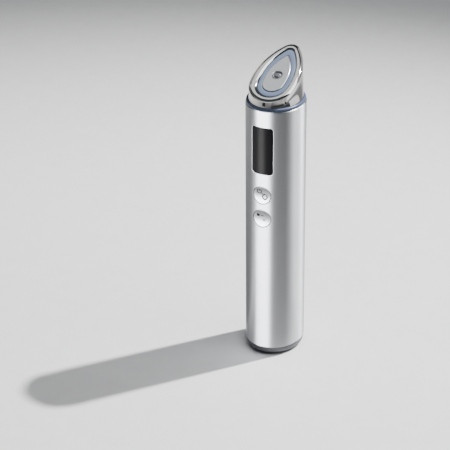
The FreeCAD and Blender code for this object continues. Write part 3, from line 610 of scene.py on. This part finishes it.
# ---------------------------------------------------------------- foot
def base_cap():
    """Rounded plug with its spigot inside the tube."""
    loops = [oval_loop(1.3, SHELL_BOTTOM + 5.8), oval_loop(1.3, SHELL_BOTTOM + 0.02),
             oval_loop(BASE_LIP + 0.25, SHELL_BOTTOM), oval_loop(BASE_LIP + 0.02, SHELL_BOTTOM - 0.05),
             oval_loop(BASE_LIP, SHELL_BOTTOM - 0.25)]
    for inward, down in arc_steps(BASE_ROUND, 0, 90, 12):
        loops.append(oval_loop(BASE_LIP + BASE_ROUND - inward, BASE_FLOOR + BASE_ROUND - down))
    loops += [oval_loop(FOOT_INSET - 0.1, BASE_FLOOR), oval_loop(FOOT_INSET, BASE_FLOOR + 0.08),
              oval_loop(FOOT_INSET, FOOT_DEPTH)]
    mesh = woven("base", loops, cap_last=True)
    return finish_mesh("base_plug", mesh, "base_plastic", "handle", ["base_cap"], 40)


def foot_pad():
    """Soft pad with a rounded edge and two shallow grooves."""
    inset = FOOT_INSET + GAP
    loops = [oval_loop(inset, FOOT_DEPTH), oval_loop(inset, 0.3), oval_loop(inset + 0.1, 0.08),
             oval_loop(inset + 0.3, 0)]
    for groove in (2.5, 5.0):
        for out, up in ((0, 0), (0.12, 0.25), (0.55, 0.25), (0.67, 0)):
            loops.append(oval_loop(inset + groove + out, up))
    loops.append(oval_loop(inset + 9.0, 0))
    mesh = woven("foot", loops, cap_first=True, cap_last=True)
    return finish_mesh("foot_cushion", mesh, "foot_rubber", "handle", ["foot_pad"], 40)


def port_trim():
    """Bezel round the charging port, flush with the skin, with a flared mouth."""
    steps = (16, (12, 4))
    outer = rounded_outline(BEZEL_WIDTH - 2 * GAP, BEZEL_TALL - 2 * GAP, BEZEL_TALL / 2.05 - GAP, *steps)
    inner = rounded_outline(PORT_WIDTH + 2 * GAP, PORT_TALL + 2 * GAP, PORT_TALL / 2.05 + GAP, *steps)
    place = (PORT_HEIGHT, 1)
    rows = [on_skin(outer, 0, 2.1, *place), on_skin(outer, 0, 0.35, *place),
            on_skin(outer, -0.06, 0.18, *place), on_skin(outer, -0.2, 0.1, *place)]
    rim = on_skin(outer, -0.35, 0.1, *place)
    mouth = on_skin(inner, 0.35, 0.16, *place)
    rows += [rim, between(rim, mouth, 0.5), mouth, on_skin(inner, 0.1, 0.32, *place),
             on_skin(inner, 0, 0.6, *place), on_skin(inner, 0, 2.1, *place)]
    mesh = woven("bezel", rows, closed=True)
    return finish_mesh("port_trim", mesh, "base_plastic", "handle", ["port_bezel"], 40)


# ---------------------------------------------------------------- head
def light_ring():
    """Translucent ring on the rim with a rounded crest and its skirt."""
    rows = [(RING_INSET + 0.12, SHELL_TOP), (RING_INSET + 0.02, SHELL_TOP + 0.06),
            (RING_INSET, SHELL_TOP + 0.2)]
    for inward, up in arc_steps(RING_ROUND, 0, 90, 10):
        rows.append((RING_INSET + RING_ROUND - inward, RING_TOP - RING_ROUND + up))
    rows += [(RING_HOLE, RING_TOP - 0.02), (RING_HOLE, NECK_BOTTOM), (SKIRT_BORE, NECK_BOTTOM),
             (SKIRT_BORE, SKIRT_BOTTOM), (WALL + GAP, SKIRT_BOTTOM), (WALL + GAP, SHELL_TOP)]
    mesh = woven("ring", [oval_loop(inset, z) for inset, z in rows], closed=True)
    return finish_mesh("glow_ring", mesh, "blue_ring", "handle", ["light_ring"], 40)


def tipward(near, far):
    """One loop that goes over to another towards the head's tip, where the wall leans in."""
    start, run = 4, 10
    parts = [min(1.0, max(0.0, (y - start) / run)) for _, y in egg_outline("outer")]
    return [a.lerp(b, part) for a, b, part in zip(near, far, parts)]


def collar():
    """Chrome neck that rises to a thin lip round the teardrop face."""
    foot, brim = upright_egg("neck", 0, NECK_TOP), face_egg("outer", LIP, LIP_RISE)
    floor = -PLATE_DEPTH - GUIDE_BASE
    steps = 24
    loops = [upright_egg("neck", -SLEEVE_IN, SLEEVE_BOTTOM), upright_egg("neck", -SLEEVE_IN, NECK_BOTTOM),
             upright_egg("neck", 0, NECK_BOTTOM), upright_egg("neck", 0, NECK_TOP - 0.7)]
    loops += [between(foot, brim, step / steps) for step in range(steps + 1)]
    loops += [face_egg("outer", 0.27, -0.07), face_egg("outer", 0.19, 0), face_egg("outer", 0.11, 0),
              face_egg("outer", 0.06, -0.07), face_egg("outer", 0.04, -0.3),
              tipward(face_egg("outer", -1.3, floor), face_egg("outer", -4.4, floor)),
              face_egg("outer", -4.6, floor - 0.3),
              upright_egg("neck", -BORE_IN, NECK_TOP), upright_egg("neck", -BORE_IN, SLEEVE_BOTTOM)]
    mesh = woven("collar", loops, closed=True)
    return finish_mesh("neck_collar", mesh, "chrome_plate", "handle", ["head_collar"], 32)


def band(inner, outer, profile):
    """Loops from an inner outline to an outer one; each step gives (part, rise)."""
    loops = []
    for part, rise in profile:
        first = face_egg(*inner, rise)
        second = face_egg(*outer, rise)
        loops.append(between(first, second, part))
    return loops


def outer_electrode():
    """Crowned chrome ring round the face."""
    edge = 0.55
    profile = [(0, -PLATE_DEPTH), (0, -edge)]
    steps = 30
    for n in range(1, steps):
        part = n / steps
        crest = 1 - abs(2 * part - 1) ** 2.6
        profile.append((part, -edge + (edge + OUTER_CROWN) * crest))
    profile += [(1, -edge), (1, -PLATE_DEPTH), (0.4, -PLATE_DEPTH)]
    loops = band(("mid", 0.16), ("outer", -0.3), profile)
    loops[-2:] = [tipward(*loops[-2:])]
    mesh = woven("electrode", loops, closed=True)
    return finish_mesh("outer_ring_plate", mesh, "chrome_plate", "handle", ["outer_electrode"], 60)


def guide():
    """Pale-blue teardrop ring let in between the two metal plates."""
    profile = [(0, -PLATE_DEPTH), (0, -GUIDE_LOW - 0.16), (0.03, -GUIDE_LOW - 0.05), (0.09, -GUIDE_LOW),
               (0.5, -GUIDE_LOW + 0.03), (0.91, -GUIDE_LOW), (0.97, -GUIDE_LOW - 0.05),
               (1, -GUIDE_LOW - 0.16), (1, -PLATE_DEPTH)]
    mesh = woven("guide", band(("inner", 0.14), ("mid", 0), profile), closed=True)
    return finish_mesh("teardrop_guide", mesh, "blue_guide", "handle", ["face_light_guide"], 60)


def inner_plate():
    """Domed inner plate with a smooth edge and a round opening for the lens."""
    hole = LENS_RADIUS + GAP
    opening = []
    for x, y in egg_outline("inner"):
        away = Vector((x, y - LENS_PLACE)).normalized()
        opening.append((away.x * hole, LENS_PLACE + away.y * hole))
    edge = 0.42
    loops = [face_egg("inner", 0, -PLATE_DEPTH), face_egg("inner", 0, -edge)]
    for turn in (15, 30, 45, 60, 75):
        angle = math.radians(turn)
        loops.append(face_egg("inner", -edge * (1 - math.cos(angle)), -edge + edge * math.sin(angle)))
    rim = egg_outline("inner", -edge)
    steps = 22
    for n in range(steps + 1):
        part = n / steps
        rise = 0.02 + (INNER_CROWN - 0.02) * math.sin(min(1.0, part * 2.2) * math.pi / 2)
        if n > steps - 2:
            rise -= 0.06 * (n - steps + 2)
        loops.append([on_face(x + (ox - x) * part, y + (oy - y) * part, rise)
                      for (x, y), (ox, oy) in zip(rim, opening)])
    loops.append([on_face(x, y, -PLATE_DEPTH) for x, y in opening])
    mesh = woven("inner", loops, closed=True)
    return finish_mesh("inner_plate", mesh, "polished_plate", "handle", ["inner_electrode"], 50)


def lens():
    """Small clear lens: a scalloped optic sunk in a smooth rim."""
    def ring(radius, rise, petals=0.0):
        points = []
        for n in range(96):
            angle = 2 * math.pi * n / 96
            reach = radius * (1 + petals * math.cos(8 * angle))
            points.append(on_face(reach * math.cos(angle), LENS_PLACE + reach * math.sin(angle), rise))
        return points

    profile = [(1, -PLATE_DEPTH - GUIDE_BASE, 0), (1, -0.3, 0), (0.975, -0.17, 0), (0.92, -0.12, 0),
               (0.86, -0.16, 0.01), (0.8, -0.5, 0.05), (0.66, -0.55, 0.08), (0.56, -0.3, 0.06),
               (0.38, -0.14, 0.03), (0.19, -0.06, 0), (0.05, -0.04, 0)]
    loops = [ring(LENS_RADIUS * part, rise, petals) for part, rise, petals in profile]
    mesh = woven("lens", loops, cap_first=True, cap_last=True)
    return finish_mesh("lens_optic", mesh, "clear_lens", "handle", ["centre_lens"], 45)


def neck_window():
    """Small black patch laid on the neck's front, low down: painted shade for the dark look of a small
    notch.
    """
    width, tall, height, aside = 1.75, 2.2, 152.9, 13
    foot, brim = upright_egg("neck", 0, NECK_TOP), face_egg("outer", LIP, LIP_RISE)
    front = min(range(len(foot)), key=lambda n: foot[n].y)
    part = (height - NECK_TOP) / (brim[front].z - NECK_TOP)
    middle = foot[front].lerp(brim[front], part)
    lean = (brim[front] - foot[front]).normalized()
    across = Vector((1, 0, 0))
    out = across.cross(lean)
    turn = math.radians(1.8)
    neck_round = EGGS["neck"][2]
    loops = []
    for grow, proud in ((0, -0.3), (0, 0.03), (-0.06, 0.06), (-0.2, 0.06)):
        loop = []
        for x, z, nx, nz in rounded_outline(width, tall, 0.25, 4, (4, 4)):
            along = x + nx * grow
            bend = -(along ** 2) / (2 * neck_round)
            loop.append(middle + across * (along + aside * math.sin(turn)) + lean * (z + nz * grow)
                        + out * (proud + bend - 0.04))
        loops.append(loop)
    mesh = woven("neck_window", loops, cap_first=True, cap_last=True)
    return finish_mesh("neck_window", mesh, "black_seal", "handle")


# ---------------------------------------------------------------- studio
def area_light(name, place, radiance, wide, tall, colour=(1, 1, 1), aim=(0, 0, 90), receivers=None):
    """A soft panel, given in millimetres, that faces a point and glows with a given radiance."""
    data = bpy.data.lights.new(name, "AREA")
    data.shape = "RECTANGLE"
    data.size, data.size_y = wide * MM, tall * MM
    data.energy = radiance * math.pi * data.size * data.size_y
    data.color = colour
    lamp = bpy.data.objects.new(name, data)
    bpy.context.scene.collection.objects.link(lamp)
    lamp.location = Vector(place) * MM
    towards = (Vector(aim) - Vector(place)).normalized()
    lamp.rotation_euler = towards.to_track_quat("-Z", "Y").to_euler()
    lamp.visible_camera = False
    if receivers:
        lamp.light_linking.receiver_collection = receivers


def card(name, start, end, near, far, look):
    """A card on the floor that only reflections see, over a fan of angles from the camera."""
    steps, lift = 12, 0.5
    rim = [math.radians(start + (end - start) * n / steps + CAMERA_AZIMUTH - 90.0) for n in range(steps + 1)]
    bm = bmesh.new()
    loops = [[bm.verts.new(Vector((reach * math.cos(t), reach * math.sin(t), lift)) * MM) for t in rim]
             for reach in (near, far)]
    for n in range(steps):
        bm.faces.new((loops[0][n], loops[1][n], loops[1][n + 1], loops[0][n + 1]))
    mesh = as_mesh(name, bm)
    mesh.materials.append(LOOKS[look])
    made = bpy.data.objects.new(name, mesh)
    bpy.context.scene.collection.objects.link(made)
    made.visible_camera = made.visible_diffuse = made.visible_shadow = made.visible_transmission = False
    made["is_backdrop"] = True


def pale_floor():
    """Plain floor, large enough to fill the view."""
    reach = 6.0
    bm = bmesh.new()
    corners = [bm.verts.new((x * reach, y * reach, 0)) for x, y in ((-1, -1), (1, -1), (1, 1), (-1, 1))]
    bm.faces.new(corners)
    mesh = as_mesh("floor", bm)
    mesh.materials.append(LOOKS["floor"])
    made = bpy.data.objects.new("floor", mesh)
    bpy.context.scene.collection.objects.link(made)
    made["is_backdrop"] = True
    return made


def soft_world():
    """Dim bluish light from all round."""
    world = bpy.data.worlds.new("studio")
    world.use_nodes = True
    background = world.node_tree.nodes["Background"]
    background.inputs["Color"].default_value = (0.78, 0.87, 1.0, 1)
    background.inputs["Strength"].default_value = 0.09
    bpy.context.scene.world = world


def key_light():
    """Spot from behind on the right, which throws the shadow."""
    key = bpy.data.lights.new("key", "SPOT")
    key.energy = 440
    key.shadow_soft_size = 0.03
    key.spot_size = math.radians(31)
    key.spot_blend = 1.0
    lamp = bpy.data.objects.new("key", key)
    bpy.context.scene.collection.objects.link(lamp)
    lamp.location = Vector((760, 900, 1560)) * MM
    aim = Vector((-110, -30, 0)) * MM
    lamp.rotation_euler = (aim - lamp.location).to_track_quat("-Z", "Y").to_euler()


def light_groups(floor):
    """Collections of the pieces by look, for lights that reach only one of them."""
    satin, glossy, mirror, others = [bpy.data.collections.new(name)
                                     for name in ("satin", "glossy", "mirror", "others")]
    others.objects.link(floor)
    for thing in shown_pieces():
        used = thing.material_slots[0].material
        if used in (LOOKS["satin_metal"], LOOKS["button_metal"]):
            satin.objects.link(thing)
        elif used == LOOKS["dark_glass"]:
            glossy.objects.link(thing)
        else:
            others.objects.link(thing)
        if used in (LOOKS["chrome_plate"], LOOKS["polished_plate"]):
            mirror.objects.link(thing)
    return satin, glossy, mirror, others


def studio():
    """Pale floor, soft panels and reflection cards."""
    floor = pale_floor()
    soft_world()
    key_light()
    satin, glossy, mirror, others = light_groups(floor)
    area_light("overhead", (430, 60, 930), 4.2, 460, 900, receivers=others)
    area_light("overhead_left", (-420, 160, 900), 1.3, 500, 900, receivers=others)
    cool = (0.955, 0.965, 1.0)
    area_light("front_left", (-240, -760, 330), 37, 880, 760, cool, receivers=satin)
    area_light("right", (515, 612, 330), 27, 210, 760, cool, receivers=satin)
    area_light("stripe", (-75, -160, 40), 10, 80, 110, aim=(-8, -14, 126), receivers=glossy)
    area_light("right_soft", (620, 330, 200), 1.5, 640, 460, receivers=mirror)
    card("card_front", -12, 51, 25, 262, "grey_card")
    card("card_neck", -12, 51, 262, 900, "pale_card")
    card("card_right", 51, 82, 25, 255, "grey_card")
    card("card_left", -175, -98, 30, 284, "dim_card")
    card("card_edge", 58, 67, 25, 700, "dark_card")


def camera():
    """Camera round the object's axis, with the object a little right of and above the lens axis."""
    azimuth, elevation = math.radians(CAMERA_AZIMUTH), math.radians(28.111)
    distance, target = 1082.546 * MM, Vector((0, 0, 74.864)) * MM
    roll, right, up = math.radians(-0.2947), math.radians(1.467), math.radians(0.0734)
    back = Vector((math.sin(azimuth) * math.cos(elevation), -math.cos(azimuth) * math.cos(elevation),
                   math.sin(elevation)))
    across = Vector((math.cos(azimuth), math.sin(azimuth), 0))
    upright = back.cross(across)
    level = Matrix((across, upright, back))
    rolled = Matrix(((math.cos(roll), -math.sin(roll), 0), (math.sin(roll), math.cos(roll), 0), (0, 0, 1)))
    aim = Vector((math.tan(right), math.tan(up), -1)).normalized()
    aside = Vector((0, 0, -1)).rotation_difference(aim).to_matrix()
    to_camera = aside @ rolled @ level
    data = bpy.data.cameras.new("camera")
    data.lens, data.sensor_width = 157.483, 36.0
    data.clip_end = 50
    made = bpy.data.objects.new("camera", data)
    bpy.context.scene.collection.objects.link(made)
    made.matrix_world = Matrix.Translation(target + back * distance) @ to_camera.transposed().to_4x4()
    bpy.context.scene.camera = made


def paint_frame():
    """Give every carried-over CAD node the node material of its slot."""
    for thing in bpy.data.objects:
        if thing.type != "MESH":
            continue
        for place in thing.material_slots:
            name = place.material.name.split(".")[0] if place.material else ""
            if name in LOOKS and place.material != LOOKS[name]:
                place.material = LOOKS[name]


paint_frame()
body_shell()
glass()
button("power", POWER_HEIGHT)
button("level", LEVEL_HEIGHT)
# black rings in the button gaps: painted shade
button_gap_shade("power", POWER_HEIGHT)
button_gap_shade("level", LEVEL_HEIGHT)
icons()
base_cap()
foot_pad()
port_trim()
light_ring()
collar()
outer_electrode()
guide()
inner_plate()
lens()
# black patch on the neck: painted shade
neck_window()
studio()
camera()
